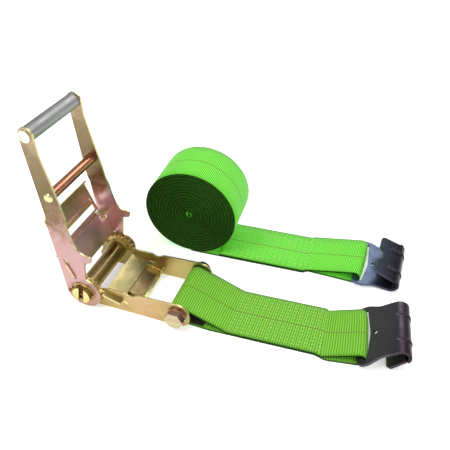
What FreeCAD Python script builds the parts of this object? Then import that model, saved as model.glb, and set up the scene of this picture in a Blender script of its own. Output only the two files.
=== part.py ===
"""Cargo ratchet strap for four-inch webbing: a long-handled ratchet on a short
sewn strap, and a long strap wound into a coil, each strap with a flat hook.

Working axes while building: X runs from the mandrel to the hooks, Y across the
webbing, Z up from the floor. X = 0 and Y = 0 are the mandrel's axis and the
ratchet's middle. At the end everything moves so that the origin is the centre of
the whole object's footprint. "near" is the -Y side, "far" the +Y side.
"""
import FreeCAD, Part
import math
import os

os.makedirs("parts", exist_ok=True)
V = FreeCAD.Vector

# ---------------------------------------------------------------- driving sizes
WEB_WIDTH = 101.6        # four-inch polyester webbing
WEB_T = 2.8              # webbing thickness
SIDE_PLAY = 1.2          # webbing edge to frame plate
RUNNING = 0.08           # radial clearance of a turning fit
SLIDING = 0.3            # clearance of a sliding or seated fit
FRAME_T = 3.5            # frame plate
HANDLE_T = 3.5           # handle plate
WHEEL_T = 4.0            # one ratchet wheel, two on each side
WHEEL_PLAY = 0.3         # wheel to frame plate
HANDLE_PLAY = 0.6        # wheel to handle plate
HANDLE_JOG = 3.5         # the handle's arms step inwards above the pawl
JOG_Z0 = 172.0
JOG_Z1 = 186.0

MANDREL_R = 16.5
MANDREL_SLOT = 9.0       # gap that the webbing threads through
MANDREL_TILT = -10.0     # how far the gap leans at rest, degrees
MANDREL_END = 9.0        # how far the mandrel stands out of the handle

TEETH = 20
WHEEL_TIP_R = 33.0
TOOTH_DEPTH = 5.5
WHEEL_LIFT = 1.5         # tooth tips above the floor
GAP_CENTRE = 12.5        # from a tooth's steep face to the middle of its gap

PAWL_T = 4.0
PAWL_REST = 0.7          # lift of a held pawl off the tooth tips
PAWL_BITE = 2.6          # depth of an engaged pawl below the tips
PAWL_RELEASE = 10.0      # how far a pawl can be pulled back from rest

DRIVE_ANGLE = 108.0      # where the drive pawl meets the wheel
DRIVE_LEAN = 111.0       # the way it slides out
DRIVE_EAR = 30.0
LOCK_ANGLE = 0.0
LOCK_LEAN = -17.0
LOCK_EAR = 35.0

BOLT_X = 168.0
BOLT_R = 10.0
BOLT_AF = 30.0           # hexagon across flats
BOLT_HEAD = 12.5
NUT_H = 12.0
BOLT_END = 2.0           # thread beyond the nut
WASHER_T = 2.5
WASHER_RIM = 7.0         # washer beyond the bolt
SLEEVE_WALL = 2.5
WEAR_T = 1.5             # dark lining inside the bolt loop

FRAME_TOP = 48.0
FRAME_NECK = 4.5         # frame plate round the mandrel
FRAME_END_R = 24.0
FRAME_LIFT = 1.0         # frame's round end above the floor
LOBE_INSET = 1.0         # frame's and handle's round feet inside the tooth tips

GRIP_X = -43.0
GRIP_Z = 327.0
GRIP_R = 12.0
GRIP_WALL = 2.2
CROSS_X = -28.0
CROSS_Z = 224.0
CROSS_R = 8.5
CROSS_CORE_R = 5.5
RIVET_HEAD_R = 8.5
RIVET_HEAD_H = 2.5

HOOK_T = 5.0
HOOK_SIDE = 10.2         # hook plate beyond the webbing on each side
HOOK_TAPER = 8.0         # past the slot it is narrower by this on each side
SLOT_PLAY = 1.5          # webbing edge to the end of the hook's slot
HOOK_BAR = 11.0          # strip of plate beyond the webbing slot
HOOK_SLOT = 12.0         # the slot's width in the middle
HOOK_SLOT_END = 6.0      # and at its two ends
HOOK_FLAT = 62.0
HOOK_SHOULDER = 14.0     # where the plate starts to narrow
HOOK_WAIST = 34.0        # and where it ends
HOOK_HOLE_X = 26.0
HOOK_BEND_R = 10.0       # inside the bend
HOOK_TURN = 164.0
HOOK_LIP = 38.0
HOOK_HOLE_R = 4.0
HOOK_LOOP_R = 8.2        # inside of the webbing round the bar

SHORT_SEW_X0 = 248.0
SHORT_SEW_X1 = 414.0
SHORT_BAR_X = 466.0
SHORT_SKEW = 3.0         # the short strap lies a little askew, degrees
SHORT_HOOK_YAW = 6.5

COIL_R = 90.0
COIL_X = 114.0
COIL_Y = 182.0
LONG_SEW_X0 = 172.0
LONG_SEW_X1 = 350.0
LONG_BAR_X = 436.0
LONG_SKEW = 3.0
LONG_HOOK_YAW = -1.0

# ---------------------------------------------------------------- worked out
FRAME_IN = WEB_WIDTH / 2 + SIDE_PLAY
FRAME_OUT = FRAME_IN + FRAME_T
WHEEL_IN = FRAME_OUT + WHEEL_PLAY
WHEEL_OUT = WHEEL_IN + 2 * WHEEL_T
HANDLE_IN = WHEEL_OUT + HANDLE_PLAY
HANDLE_OUT = HANDLE_IN + HANDLE_T
ARM_IN = HANDLE_IN - HANDLE_JOG
ARM_OUT = HANDLE_OUT - HANDLE_JOG
AXLE_Z = WHEEL_TIP_R + WHEEL_LIFT
WHEEL_ROOT_R = WHEEL_TIP_R - TOOTH_DEPTH
FRAME_NECK_R = MANDREL_R + FRAME_NECK
LOBE_R = WHEEL_TIP_R - LOBE_INSET
BOLT_Z = FRAME_END_R + FRAME_LIFT
WASHER_R = BOLT_R + WASHER_RIM
HOOK_WIDTH = WEB_WIDTH + 2 * HOOK_SIDE
HOOK_NOSE_WIDTH = HOOK_WIDTH - 2 * HOOK_TAPER
SKEW_X = BOLT_X + 3      # where the skewed strap is centred between the frame plates
SLEEVE_R = BOLT_R + SLIDING + SLEEVE_WALL
BOLT_LOOP_R = SLEEVE_R + SLIDING + WEAR_T + SLIDING

PARTS = {}


# ---------------------------------------------------------------- helpers
def polar(radius, degrees):
    """A point at a radius and angle round the mandrel."""
    a = math.radians(degrees)
    return (radius * math.cos(a), AXLE_Z + radius * math.sin(a))


def outline(points):
    """Closed wire in the XZ plane. Each point is (x, z, corner radius)."""
    edges = []
    ends = []
    for i, (x, z, r) in enumerate(points):
        here = V(x, 0, z)
        before = V(points[i - 1][0], 0, points[i - 1][1]) - here
        after = V(points[(i + 1) % len(points)][0], 0, points[(i + 1) % len(points)][1]) - here
        if r <= 0:
            ends.append((here, here, None))
            continue
        half = before.getAngle(after) / 2
        reach = r / math.tan(half)
        before.normalize()
        after.normalize()
        middle = before + after
        middle.normalize()
        top = here + middle * (r / math.sin(half) - r)
        ends.append((here + before * reach, here + after * reach, top))
    for i, (start, end, top) in enumerate(ends):
        if top is not None:
            edges.append(Part.Arc(start, top, end).toShape())
        following = ends[(i + 1) % len(ends)][0]
        if end.distanceToPoint(following) > 1e-6:
            edges.append(Part.LineSegment(end, following).toShape())
    return Part.Wire(edges)


def prism(points, y0, y1):
    """Solid between two Y planes from an XZ outline or wire."""
    wire = outline(points) if isinstance(points, list) else points
    solid = Part.Face(wire).extrude(V(0, y1 - y0, 0))
    solid.translate(V(0, y0, 0))
    return solid


def rod(r, x, z, y0, y1):
    """Round bar along Y."""
    return Part.makeCylinder(r, y1 - y0, V(x, y0, z), V(0, 1, 0))


def ring(r_out, r_in, x, z, y0, y1):
    return rod(r_out, x, z, y0, y1).cut(rod(r_in, x, z, y0, y1))


def hexagon(flats, x, z, y0, y1):
    """Hexagonal prism along Y with its outer corners chamfered at y0."""
    corner = flats / math.sqrt(3)
    points = []
    for i in range(6):
        a = math.radians(60 * i)
        points.append((x + corner * math.cos(a), z + corner * math.sin(a), 0))
    body = prism(points, y0, y1)
    height = y1 - y0
    cone_r = flats / 2 * 0.97
    cone = Part.makeCone(cone_r, cone_r + height * 2, height, V(x, y0, z), V(0, 1, 0))
    return body.common(cone)


def mirror_y(shape):
    return shape.mirror(V(0, 0, 0), V(0, 1, 0))


def both_sides(name, near):
    """Register a near piece and its mirror image on the far side."""
    PARTS[name + "_near"] = near
    PARTS[name + "_far"] = mirror_y(near)


def slide_frame(angle, lean):
    """Placement of a pawl: local X out along the slide, local Z across the plate."""
    x, z = polar(WHEEL_TIP_R + PAWL_REST, angle)
    return FreeCAD.Placement(V(x, 0, z), FreeCAD.Rotation(V(0, 1, 0), -lean))


def local_box(place, s0, s1, y0, y1, n0, n1):
    """Box in a pawl's own frame: s along the slide, n across its thickness."""
    box = Part.makeBox(s1 - s0, y1 - y0, n1 - n0, V(s0, y0, n0))
    box.Placement = place.multiply(box.Placement)
    return box


def fused(shapes):
    whole = shapes[0].multiFuse(shapes[1:])
    return whole.removeSplitter()


DRIVE = slide_frame(DRIVE_ANGLE, DRIVE_LEAN)
LOCK = slide_frame(LOCK_ANGLE, LOCK_LEAN)
SLOT_HALF = PAWL_T / 2 + SLIDING


def pawl_slot(place, ear, y0, y1):
    """Slot that lets a pawl's ear travel from engaged to pulled back."""
    s0 = -PAWL_REST - PAWL_BITE - SLIDING
    s1 = ear + PAWL_RELEASE + SLIDING
    return local_box(place, s0, s1, y0, y1, -SLOT_HALF, SLOT_HALF)


# ---------------------------------------------------------------- frame plates
CROSS_N0 = -10.0         # cross plate below the lock pawl, in the pawl's frame
CROSS_N1 = -7.5
CROSS_S0 = 30.0
CROSS_S1 = 66.0
CROSS_LIP_T = 2.5
TAB_S0 = 40.0
TAB_S1 = 56.0
TAB_PLAY = 0.1


def frame_plate():
    y0, y1 = -FRAME_OUT, -FRAME_IN
    right = BOLT_X + FRAME_END_R
    end_top = BOLT_Z + FRAME_END_R
    stop_x, stop_z = polar(LOBE_R + 8, 198)
    shoulder_x, shoulder_z = polar(LOBE_R + 0.5, 150)
    arm = prism([
        (24, AXLE_Z + 4, 3),
        (42, FRAME_TOP - 4.5, 10),
        (72, FRAME_TOP - 4, 3),
        (79, FRAME_TOP - 8, 2),
        (86, FRAME_TOP - 8, 3),
        (96, FRAME_TOP - 2.5, 8),
        (BOLT_X - 8, end_top, 30),
        (right, end_top, FRAME_END_R - 1),
        (right, 1, FRAME_END_R - 1),
        (BOLT_X - 26, 0, 40),
        (stop_x + 8, 0, 12),
        (stop_x, 12, 6),
        (stop_x, stop_z - 2, 1),
        (stop_x + 4, stop_z - 2, 1),
        (stop_x + 3, stop_z + 4, 2),
        (0, AXLE_Z, 0)], y0, y1)
    lobe = rod(LOBE_R, 0, AXLE_Z, y0, y1)
    keep = prism([
        (0, AXLE_Z, 0),
        (shoulder_x, shoulder_z, 0),
        (stop_x - 20, shoulder_z, 0),
        (stop_x - 20, 0, 0),
        (0, 0, 0)], y0, y1)
    neck = rod(FRAME_NECK_R, 0, AXLE_Z, y0, y1)
    plate = fused([arm, lobe.common(keep), neck])
    plate = plate.cut(rod(MANDREL_R + RUNNING, 0, AXLE_Z, y0, y1))
    plate = plate.cut(rod(BOLT_R + SLIDING / 2, BOLT_X, BOLT_Z, y0, y1))
    plate = plate.cut(pawl_slot(LOCK, LOCK_EAR, y0, y1))
    tab = local_box(LOCK, TAB_S0 - TAB_PLAY, TAB_S1 + TAB_PLAY, y0, y1,
                    CROSS_N0 - TAB_PLAY, CROSS_N1 + TAB_PLAY)
    return plate.cut(tab)


both_sides("frame_plate", frame_plate())

# ------------------------------------------- cross plate, lock pawl and springs
SPRING_Y = FRAME_IN - 10
SPRING_R = 4.6
SPRING_WIRE = 1.2
SPRING_GAP = 0.1
GUIDE_R = 2.4
GUIDE_HEAD_R = 4.0
GUIDE_HEAD_H = 2.0
GUIDE_LEN = 17.0
LIP_TOP = 6.0
TONGUE_HALF = FRAME_IN - 22
TONGUE_S = 60.0
STEP_N = 3.0             # the tongue is pressed down below the pawl's face


def cross_plate():
    floor = local_box(LOCK, CROSS_S0, CROSS_S1, -FRAME_IN, FRAME_IN, CROSS_N0, CROSS_N1)
    pieces = [floor]
    for side in (-1, 1):
        y_in = side * (TONGUE_HALF + 3)
        y_out = side * (FRAME_IN - 2)
        lip = local_box(LOCK, CROSS_S1 - CROSS_LIP_T, CROSS_S1, min(y_in, y_out),
                        max(y_in, y_out), CROSS_N1, LIP_TOP)
        y_a = side * FRAME_IN
        y_b = side * FRAME_OUT
        pieces.append(lip)
        pieces.append(local_box(LOCK, TAB_S0, TAB_S1, min(y_a, y_b), max(y_a, y_b),
                                CROSS_N0, CROSS_N1))
    plate = fused(pieces)
    for side in (-1, 1):
        hole = Part.makeCylinder(GUIDE_R + TAB_PLAY, 3 * CROSS_LIP_T,
                                 V(CROSS_S1 - 2 * CROSS_LIP_T, side * SPRING_Y, 0), V(1, 0, 0))
        hole.Placement = LOCK.multiply(hole.Placement)
        plate = plate.cut(hole)
    return plate


def lock_pawl():
    half_ear = WHEEL_OUT + 0.2
    body = local_box(LOCK, 0, LOCK_EAR, -half_ear, half_ear, -PAWL_T / 2, PAWL_T / 2)
    step = local_box(LOCK, LOCK_EAR - PAWL_T, LOCK_EAR, -TONGUE_HALF, TONGUE_HALF,
                     -PAWL_T / 2 - STEP_N, 0)
    tongue = local_box(LOCK, LOCK_EAR - PAWL_T, TONGUE_S, -TONGUE_HALF, TONGUE_HALF,
                       -PAWL_T / 2 - STEP_N, PAWL_T / 2 - STEP_N)
    return fused([body, step, tongue])


def spring_tube(place, s0, s1, y):
    """Envelope of a coil spring lying along a pawl's slide."""
    outer = Part.makeCylinder(SPRING_R, s1 - s0, V(s0, y, 0), V(1, 0, 0))
    inner = Part.makeCylinder(SPRING_R - SPRING_WIRE, s1 - s0, V(s0, y, 0), V(1, 0, 0))
    tube = outer.cut(inner)
    tube.Placement = place.multiply(tube.Placement)
    return tube


def spring_guide():
    shank = Part.makeCylinder(GUIDE_R, GUIDE_LEN, V(CROSS_S1 - GUIDE_LEN, -SPRING_Y, 0), V(1, 0, 0))
    head = Part.makeCylinder(GUIDE_HEAD_R, GUIDE_HEAD_H, V(CROSS_S1, -SPRING_Y, 0), V(1, 0, 0))
    guide = fused([shank, head])
    guide.Placement = LOCK.multiply(guide.Placement)
    return guide


PARTS["cross_plate"] = cross_plate()
PARTS["lock_pawl"] = lock_pawl()
both_sides("lock_spring", spring_tube(LOCK, LOCK_EAR + SPRING_GAP,
                                      CROSS_S1 - CROSS_LIP_T - SPRING_GAP, -SPRING_Y))
both_sides("lock_spring_guide", spring_guide())

# ---------------------------------------------------------------- fixed-end bolt
def bolt():
    head_y = FRAME_OUT + WASHER_T
    end_y = head_y + NUT_H + BOLT_END
    shank = rod(BOLT_R, BOLT_X, BOLT_Z, -head_y, end_y)
    head = hexagon(BOLT_AF, BOLT_X, BOLT_Z, -head_y - BOLT_HEAD, -head_y)
    return fused([head, shank])


def nut():
    y0 = FRAME_OUT + WASHER_T
    flats = mirror_y(hexagon(BOLT_AF, BOLT_X, BOLT_Z, -y0 - NUT_H + 4, -y0))
    collar = rod(BOLT_R + 3.5, BOLT_X, BOLT_Z, y0, y0 + NUT_H)
    body = fused([flats, collar])
    return body.cut(rod(BOLT_R + TAB_PLAY, BOLT_X, BOLT_Z, y0, y0 + NUT_H))


PARTS["bolt"] = bolt()
PARTS["bolt_nut"] = nut()
both_sides("bolt_washer", ring(WASHER_R, BOLT_R + SLIDING, BOLT_X, BOLT_Z,
                               -FRAME_OUT - WASHER_T, -FRAME_OUT))
PARTS["bolt_sleeve"] = ring(SLEEVE_R, BOLT_R + SLIDING, BOLT_X, BOLT_Z,
                            -FRAME_IN + TAB_PLAY, FRAME_IN - TAB_PLAY)

# ---------------------------------------------------------------- mandrel
COTTER_R = 2.0
COTTER_Y = HANDLE_OUT + 5.5
COTTER_HALF = MANDREL_R + 3
MANDREL_WASHER_T = 1.6
MANDREL_WASHER_R = MANDREL_R + 5.5
MANDREL_HALF_LEN = HANDLE_OUT + MANDREL_END


def turn_mandrel(shape):
    shape.rotate(V(0, 0, AXLE_Z), V(0, 1, 0), -MANDREL_TILT)
    return shape


def cotter_hole(y):
    hole = Part.makeCylinder(COTTER_R + TAB_PLAY, 4 * MANDREL_R,
                             V(-2 * MANDREL_R, y, AXLE_Z), V(1, 0, 0))
    return hole


def half_round(side, y0, y1, grow=0.0):
    """One of the mandrel's two half-round bars, before the rest tilt."""
    bar = rod(MANDREL_R + grow, 0, AXLE_Z, y0, y1)
    flat = MANDREL_SLOT / 2 - grow
    keep = Part.makeBox(2 * MANDREL_R, y1 - y0, 4 * MANDREL_R,
                        V(flat if side > 0 else -flat - 2 * MANDREL_R, y0, AXLE_Z - 2 * MANDREL_R))
    return bar.common(keep)


def mandrel_half(side):
    bar = half_round(side, -MANDREL_HALF_LEN, MANDREL_HALF_LEN)
    for y in (-COTTER_Y, COTTER_Y):
        bar = bar.cut(cotter_hole(y))
    return turn_mandrel(bar)


def ratchet_wheel(y0, y1):
    pitch = 360.0 / TEETH
    phase = LOCK_ANGLE - GAP_CENTRE
    points = []
    for i in range(TEETH):
        a = phase + i * pitch
        points.append((*polar(WHEEL_ROOT_R, a - 0.06 * pitch), 0.8))
        points.append((*polar(WHEEL_TIP_R, a), 0))
        points.append((*polar(WHEEL_TIP_R, a + 0.12 * pitch), 0))
        points.append((*polar(WHEEL_ROOT_R, a + 0.45 * pitch), 0.8))
    wheel = prism(points, y0, y1)
    for side in (-1, 1):
        wheel = wheel.cut(turn_mandrel(half_round(side, y0, y1, RUNNING)))
    return wheel


def cotter_pin():
    y = -COTTER_Y
    shank = Part.makeCylinder(COTTER_R, 2 * COTTER_HALF, V(-COTTER_HALF, y, AXLE_Z), V(1, 0, 0))
    eye = Part.makeTorus(2.6, 1.5, V(-COTTER_HALF - 2.6, y, AXLE_Z), V(0, 1, 0))
    leg = Part.makeCylinder(COTTER_R * 0.8, 8, V(COTTER_HALF - COTTER_R, y, AXLE_Z), V(0.2, 0, 1))
    return turn_mandrel(fused([shank, eye, leg]))


PARTS["mandrel_half_front"] = mandrel_half(1)
PARTS["mandrel_half_rear"] = mandrel_half(-1)
both_sides("ratchet_wheel_inner", ratchet_wheel(-WHEEL_IN - WHEEL_T, -WHEEL_IN))
both_sides("ratchet_wheel_outer", ratchet_wheel(-WHEEL_OUT, -WHEEL_IN - WHEEL_T))
both_sides("mandrel_washer", ring(MANDREL_WASHER_R, MANDREL_R + SLIDING, 0, AXLE_Z,
                                  -HANDLE_OUT - SLIDING - MANDREL_WASHER_T, -HANDLE_OUT - SLIDING))
both_sides("cotter_pin", cotter_pin())

# ---------------------------------------------------------------- handle
GRIP_RIVET_R = GRIP_R - GRIP_WALL - SLIDING / 2
RIVET_RIM = 2.2          # the plate shows round the head, and the head round its dish
RIVET_DISH = 0.5
GRIP_FLANGE_T = 1.6
BRACKET_S = 44.0         # spring bracket behind the drive pawl's ears
BRACKET_T = 2.5
BRACKET_HALF_N = 14.0
BRACKET_Y_IN = HANDLE_IN - 14.4
LANCE_N = 11.0
LANCE_HALF = 3.0
DRIVE_SPRING_Y = (HANDLE_IN + BRACKET_Y_IN) / 2


def bracket_tab(sign, y0, y1, play):
    n = sign * LANCE_N
    return local_box(DRIVE, BRACKET_S - play, BRACKET_S + BRACKET_T + play, y0, y1,
                     n - LANCE_HALF - play, n + LANCE_HALF + play)


def joggle():
    """Side view of a near handle plate, stepping inwards above the pawl."""
    top = GRIP_Z + 2 * GRIP_R
    points = [
        (-HANDLE_OUT, 0, 0), (-HANDLE_OUT, JOG_Z0, 20), (-ARM_OUT, JOG_Z1, 20), (-ARM_OUT, top, 0),
        (-ARM_IN, top, 0), (-ARM_IN, JOG_Z1, 20), (-HANDLE_IN, JOG_Z0, 20), (-HANDLE_IN, 0, 0)]
    slab = prism(points, -GRIP_Z, GRIP_Z)
    slab.rotate(V(0, 0, 0), V(0, 0, 1), 90)
    return slab


def handle_plate():
    y0, y1 = -HANDLE_OUT, -ARM_IN
    top = GRIP_Z + GRIP_R + 1.5
    arm = prism([
        (GRIP_X - GRIP_R - 0.5, top, 12),
        (GRIP_X + GRIP_R + 1.5, top, 12),
        (GRIP_X + GRIP_R + 2.5, GRIP_Z - 26, 80),
        (-10, 206, 160),
        (-3, 158, 60),
        (6, AXLE_Z + 88, 20),
        (30, AXLE_Z + 86, 4),
        (27, AXLE_Z + 74, 3),
        (14.5, AXLE_Z + 71, 4),
        (8.5, AXLE_Z + 24, 0),
        (0, AXLE_Z, 0),
        (-LOBE_R, AXLE_Z, 0),
        (-38, AXLE_Z + 83, 200)], y0, y1)
    lobe = rod(LOBE_R, 0, AXLE_Z, y0, y1)
    plate = fused([arm, lobe]).common(joggle())
    plate = plate.cut(rod(MANDREL_R + RUNNING, 0, AXLE_Z, y0, y1))
    plate = plate.cut(pawl_slot(DRIVE, DRIVE_EAR, y0, y1))
    plate = plate.cut(rod(GRIP_RIVET_R + TAB_PLAY, GRIP_X, GRIP_Z, y0, y1))
    plate = plate.cut(rod(CROSS_CORE_R + TAB_PLAY, CROSS_X, CROSS_Z, y0, y1))
    for sign in (-1, 1):
        plate = plate.cut(bracket_tab(sign, y0, y1, TAB_PLAY))
    return plate


def spring_bracket():
    plate = local_box(DRIVE, BRACKET_S, BRACKET_S + BRACKET_T, -HANDLE_IN, -BRACKET_Y_IN,
                      -BRACKET_HALF_N, BRACKET_HALF_N)
    pieces = [plate]
    for sign in (-1, 1):
        pieces.append(bracket_tab(sign, -HANDLE_OUT, -HANDLE_IN, 0))
    return fused(pieces)


def grip_rivet():
    """Solid rivet through the grip tube; each head has a shallow round dish."""
    flange_y = ARM_OUT + GRIP_FLANGE_T
    pieces = [rod(GRIP_RIVET_R, GRIP_X, GRIP_Z, -flange_y, flange_y)]
    dishes = []
    for side in (-1, 1):
        y_a = side * ARM_OUT
        y_b = side * flange_y
        pieces.append(rod(GRIP_R - RIVET_RIM, GRIP_X, GRIP_Z, min(y_a, y_b), max(y_a, y_b)))
        y_c = side * (flange_y - RIVET_DISH)
        dishes.append(rod(GRIP_R - 2 * RIVET_RIM, GRIP_X, GRIP_Z, min(y_b, y_c), max(y_b, y_c)))
    rivet = fused(pieces)
    for dish in dishes:
        rivet = rivet.cut(dish)
    return rivet


def cross_rivet():
    pieces = [rod(CROSS_CORE_R, CROSS_X, CROSS_Z, -ARM_OUT, ARM_OUT)]
    for side in (-1, 1):
        head = Part.makeCone(RIVET_HEAD_R, RIVET_HEAD_R * 0.7, RIVET_HEAD_H,
                             V(CROSS_X, side * ARM_OUT, CROSS_Z), V(0, side, 0))
        pieces.append(head)
    return fused(pieces)


both_sides("handle_plate", handle_plate())
both_sides("spring_bracket", spring_bracket())
PARTS["grip_tube"] = ring(GRIP_R, GRIP_R - GRIP_WALL, GRIP_X, GRIP_Z,
                          -ARM_IN + TAB_PLAY, ARM_IN - TAB_PLAY)
PARTS["grip_rivet"] = grip_rivet()
PARTS["cross_tube"] = ring(CROSS_R, CROSS_CORE_R + TAB_PLAY, CROSS_X, CROSS_Z,
                           -ARM_IN + TAB_PLAY, ARM_IN - TAB_PLAY)
PARTS["cross_rivet"] = cross_rivet()

# ---------------------------------------------------------------- drive pawl
PAWL_NECK = BRACKET_Y_IN - 2
PULL_T = 2.5
PULL_S0 = 32.0
WINDOW_S0 = 58.0
WINDOW_S1 = 82.0
PULL_HALF = ARM_IN - 1.4
WINDOW_HALF = PULL_HALF - 7
BAR_S1 = 106.0
CURL_R = 6.0


def drive_pawl():
    body_half = HANDLE_IN - SLIDING
    ear_half = HANDLE_OUT + 3.0
    body = local_box(DRIVE, 0, DRIVE_EAR, -body_half, body_half, -PAWL_T / 2, PAWL_T / 2)
    ears = local_box(DRIVE, 0, DRIVE_EAR, -ear_half, ear_half, -PAWL_T / 2, PAWL_T / 2)
    tail = local_box(DRIVE, DRIVE_EAR - 1, 50, -PAWL_NECK, PAWL_NECK, -PAWL_T / 2, PAWL_T / 2)
    return fused([body, ears, tail])


def curl(s_centre, start, end):
    """Curled edge of the finger bar: an arc of plate in the slide's frame."""
    wall = []
    for a in (start, (start + end) / 2, end):
        r = math.radians(a)
        wall.append((V(s_centre + CURL_R * math.cos(r), 0, CURL_R * math.sin(r)),
                     V(s_centre + (CURL_R + PULL_T) * math.cos(r), 0,
                       (CURL_R + PULL_T) * math.sin(r))))
    edges = [Part.Arc(wall[0][0], wall[1][0], wall[2][0]).toShape(),
             Part.LineSegment(wall[2][0], wall[2][1]).toShape(),
             Part.Arc(wall[2][1], wall[1][1], wall[0][1]).toShape(),
             Part.LineSegment(wall[0][1], wall[0][0]).toShape()]
    return Part.Face(Part.Wire(edges))


def pull_plate():
    n0 = PAWL_T / 2
    n1 = n0 + PULL_T
    stem = local_box(DRIVE, PULL_S0, WINDOW_S0, -PAWL_NECK, PAWL_NECK, n0, n1)
    panel = local_box(DRIVE, WINDOW_S0 - 4, BAR_S1, -PULL_HALF, PULL_HALF, n0, n1)
    window = local_box(DRIVE, WINDOW_S0, WINDOW_S1, -WINDOW_HALF, WINDOW_HALF, n0, n1)
    shapes = [stem, panel.cut(window)]
    for s_centre, start, end in ((BAR_S1, 90, -10), (WINDOW_S1, 90, 190)):
        face = curl(s_centre, start, end)
        half = PULL_HALF if s_centre == BAR_S1 else WINDOW_HALF - 2
        lip = face.extrude(V(0, 2 * half, 0))
        lip.translate(V(0, -half, n0 - CURL_R))
        lip.Placement = DRIVE.multiply(lip.Placement)
        shapes.append(lip)
    return fused(shapes)


PARTS["drive_pawl"] = drive_pawl()
PARTS["pull_plate"] = pull_plate()
both_sides("drive_spring", spring_tube(DRIVE, DRIVE_EAR + SPRING_GAP,
                                       BRACKET_S - SPRING_GAP, -DRIVE_SPRING_Y))


# ---------------------------------------------------------------- webbing
BAR_Z = HOOK_LOOP_R + WEB_T
SHORT_FLAT_X = BOLT_X + 48   # where the bolt loop's lower layer comes down to the floor
WEAR_END = BOLT_X + 44
WEAR_GAP = 0.2
LOOP_LAP = 6.0           # how far a hook loop reaches back into the sewn part


def tangent(cx, cz, r, px, pz, sign):
    """Point where a line from (px, pz) touches a circle, on the given side."""
    distance = math.hypot(px - cx, pz - cz)
    a = math.atan2(pz - cz, px - cx) + sign * math.acos(r / distance)
    return V(cx + r * math.cos(a), 0, cz + r * math.sin(a))


def path_wire(steps):
    """Closed wire of straight steps; a step given as (middle, end) is an arc."""
    edges = []
    here = steps[0]
    for step in steps[1:] + [steps[0]]:
        if isinstance(step, tuple):
            edges.append(Part.Arc(here, step[0], step[1]).toShape())
            here = step[1]
        elif here.distanceToPoint(step) > 1e-6:
            edges.append(Part.LineSegment(here, step).toShape())
            here = step
    return Part.Wire(edges)


def bolt_turn(r, apex_x, apex_z, floor_z):
    """Round the bolt: lower tangent from the floor, then the arc to the upper tangent."""
    bottom = tangent(BOLT_X, BOLT_Z, r, SHORT_FLAT_X, floor_z, -1)
    top = tangent(BOLT_X, BOLT_Z, r, apex_x, apex_z, 1)
    return [bottom, (V(BOLT_X - r, 0, BOLT_Z), top), V(apex_x, 0, apex_z)]


def hook_turn(bar_x, r, apex_x, apex_z):
    """Round a hook's bar: upper tangent, then the arc down to the lower layer."""
    top = tangent(bar_x, BAR_Z, r, apex_x, apex_z, -1)
    return [V(apex_x, 0, apex_z), top, (V(bar_x + r, 0, BAR_Z), V(bar_x, 0, BAR_Z - r))]


def web_prism(steps, half=WEB_WIDTH / 2):
    return prism(path_wire(steps), -half, half)


def hook_loop(bar_x, bar_y, sew_x, yaw):
    """Webbing round a hook's bar and the space inside it, both turned with the hook."""
    steps = hook_turn(bar_x, BAR_Z, sew_x, 2 * WEB_T)
    steps += [V(sew_x - LOOP_LAP, 0, 0), V(sew_x - LOOP_LAP, 0, 2 * WEB_T)]
    loop = web_prism(steps)
    cavity = web_prism(hook_turn(bar_x, HOOK_LOOP_R, sew_x, WEB_T), WEB_WIDTH)
    for shape in (loop, cavity):
        shape.translate(V(0, bar_y, 0))
        shape.rotate(V(bar_x, bar_y, 0), V(0, 0, 1), yaw)
    return loop, cavity


def with_hook_loop(strap, bar_x, bar_y, sew_x, yaw):
    loop, cavity = hook_loop(bar_x, bar_y, sew_x, yaw)
    return fused([strap, loop]).cut(cavity)


def sewn_end(sew_x, yaw):
    """Where the sewn part has to reach so that a turned hook loop grows out of it."""
    return sew_x + WEB_WIDTH / 2 * abs(math.sin(math.radians(yaw))) + SLIDING


def drift(x):
    """How far aside the skewed strap lies at x."""
    return math.tan(math.radians(SHORT_SKEW)) * (x - SKEW_X)


# The strap's bolt loop stays square to the bolt; only its far end drifts aside,
# so its two edges are skewed and its ends stay parallel to the bolt.
def skewed(steps, half):
    wide = web_prism(steps, 1.5 * half)
    x0, x1 = BOLT_X - 2 * BOLT_Z, SHORT_BAR_X + 2 * BAR_Z
    corners = [V(x0, drift(x0) - half, 0), V(x1, drift(x1) - half, 0),
               V(x1, drift(x1) + half, 0), V(x0, drift(x0) + half, 0)]
    keep = Part.Face(Part.makePolygon(corners + corners[:1])).extrude(V(0, 0, 3 * BOLT_Z))
    return wide.common(keep)


def short_strap():
    steps = bolt_turn(BOLT_LOOP_R + WEB_T, SHORT_SEW_X0, 2 * WEB_T, 0)
    end = sewn_end(SHORT_SEW_X1, SHORT_HOOK_YAW)
    steps += [V(end, 0, 2 * WEB_T), V(end, 0, 0), V(SHORT_FLAT_X, 0, 0)]
    bolt_cavity = bolt_turn(BOLT_LOOP_R, SHORT_SEW_X0, WEB_T, WEB_T)
    bolt_cavity.append(V(SHORT_FLAT_X, 0, WEB_T))
    strap = skewed(steps, WEB_WIDTH / 2).cut(web_prism(bolt_cavity, WEB_WIDTH))
    return with_hook_loop(strap, SHORT_BAR_X, drift(SHORT_BAR_X), SHORT_SEW_X1, SHORT_HOOK_YAW)


def wear_sleeve():
    """Dark lining between the webbing and the bolt's sleeve."""
    half = WEB_WIDTH / 2 - 2
    layers = []
    for r, floor_z in ((BOLT_LOOP_R - SLIDING, WEB_T + WEAR_GAP),
                       (BOLT_LOOP_R - SLIDING - WEAR_T, WEB_T + WEAR_GAP + WEAR_T)):
        steps = bolt_turn(r, SHORT_SEW_X0, floor_z, floor_z)
        steps.append(V(SHORT_FLAT_X, 0, floor_z))
        layers.append(steps)
    band = skewed(layers[0], half).cut(web_prism(layers[1], WEB_WIDTH))
    left = BOLT_X - BOLT_LOOP_R
    keep = Part.makeBox(WEAR_END - left, 4 * half, 2 * BOLT_Z + WEB_T, V(left, -2 * half, 0))
    return band.common(keep)


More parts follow.
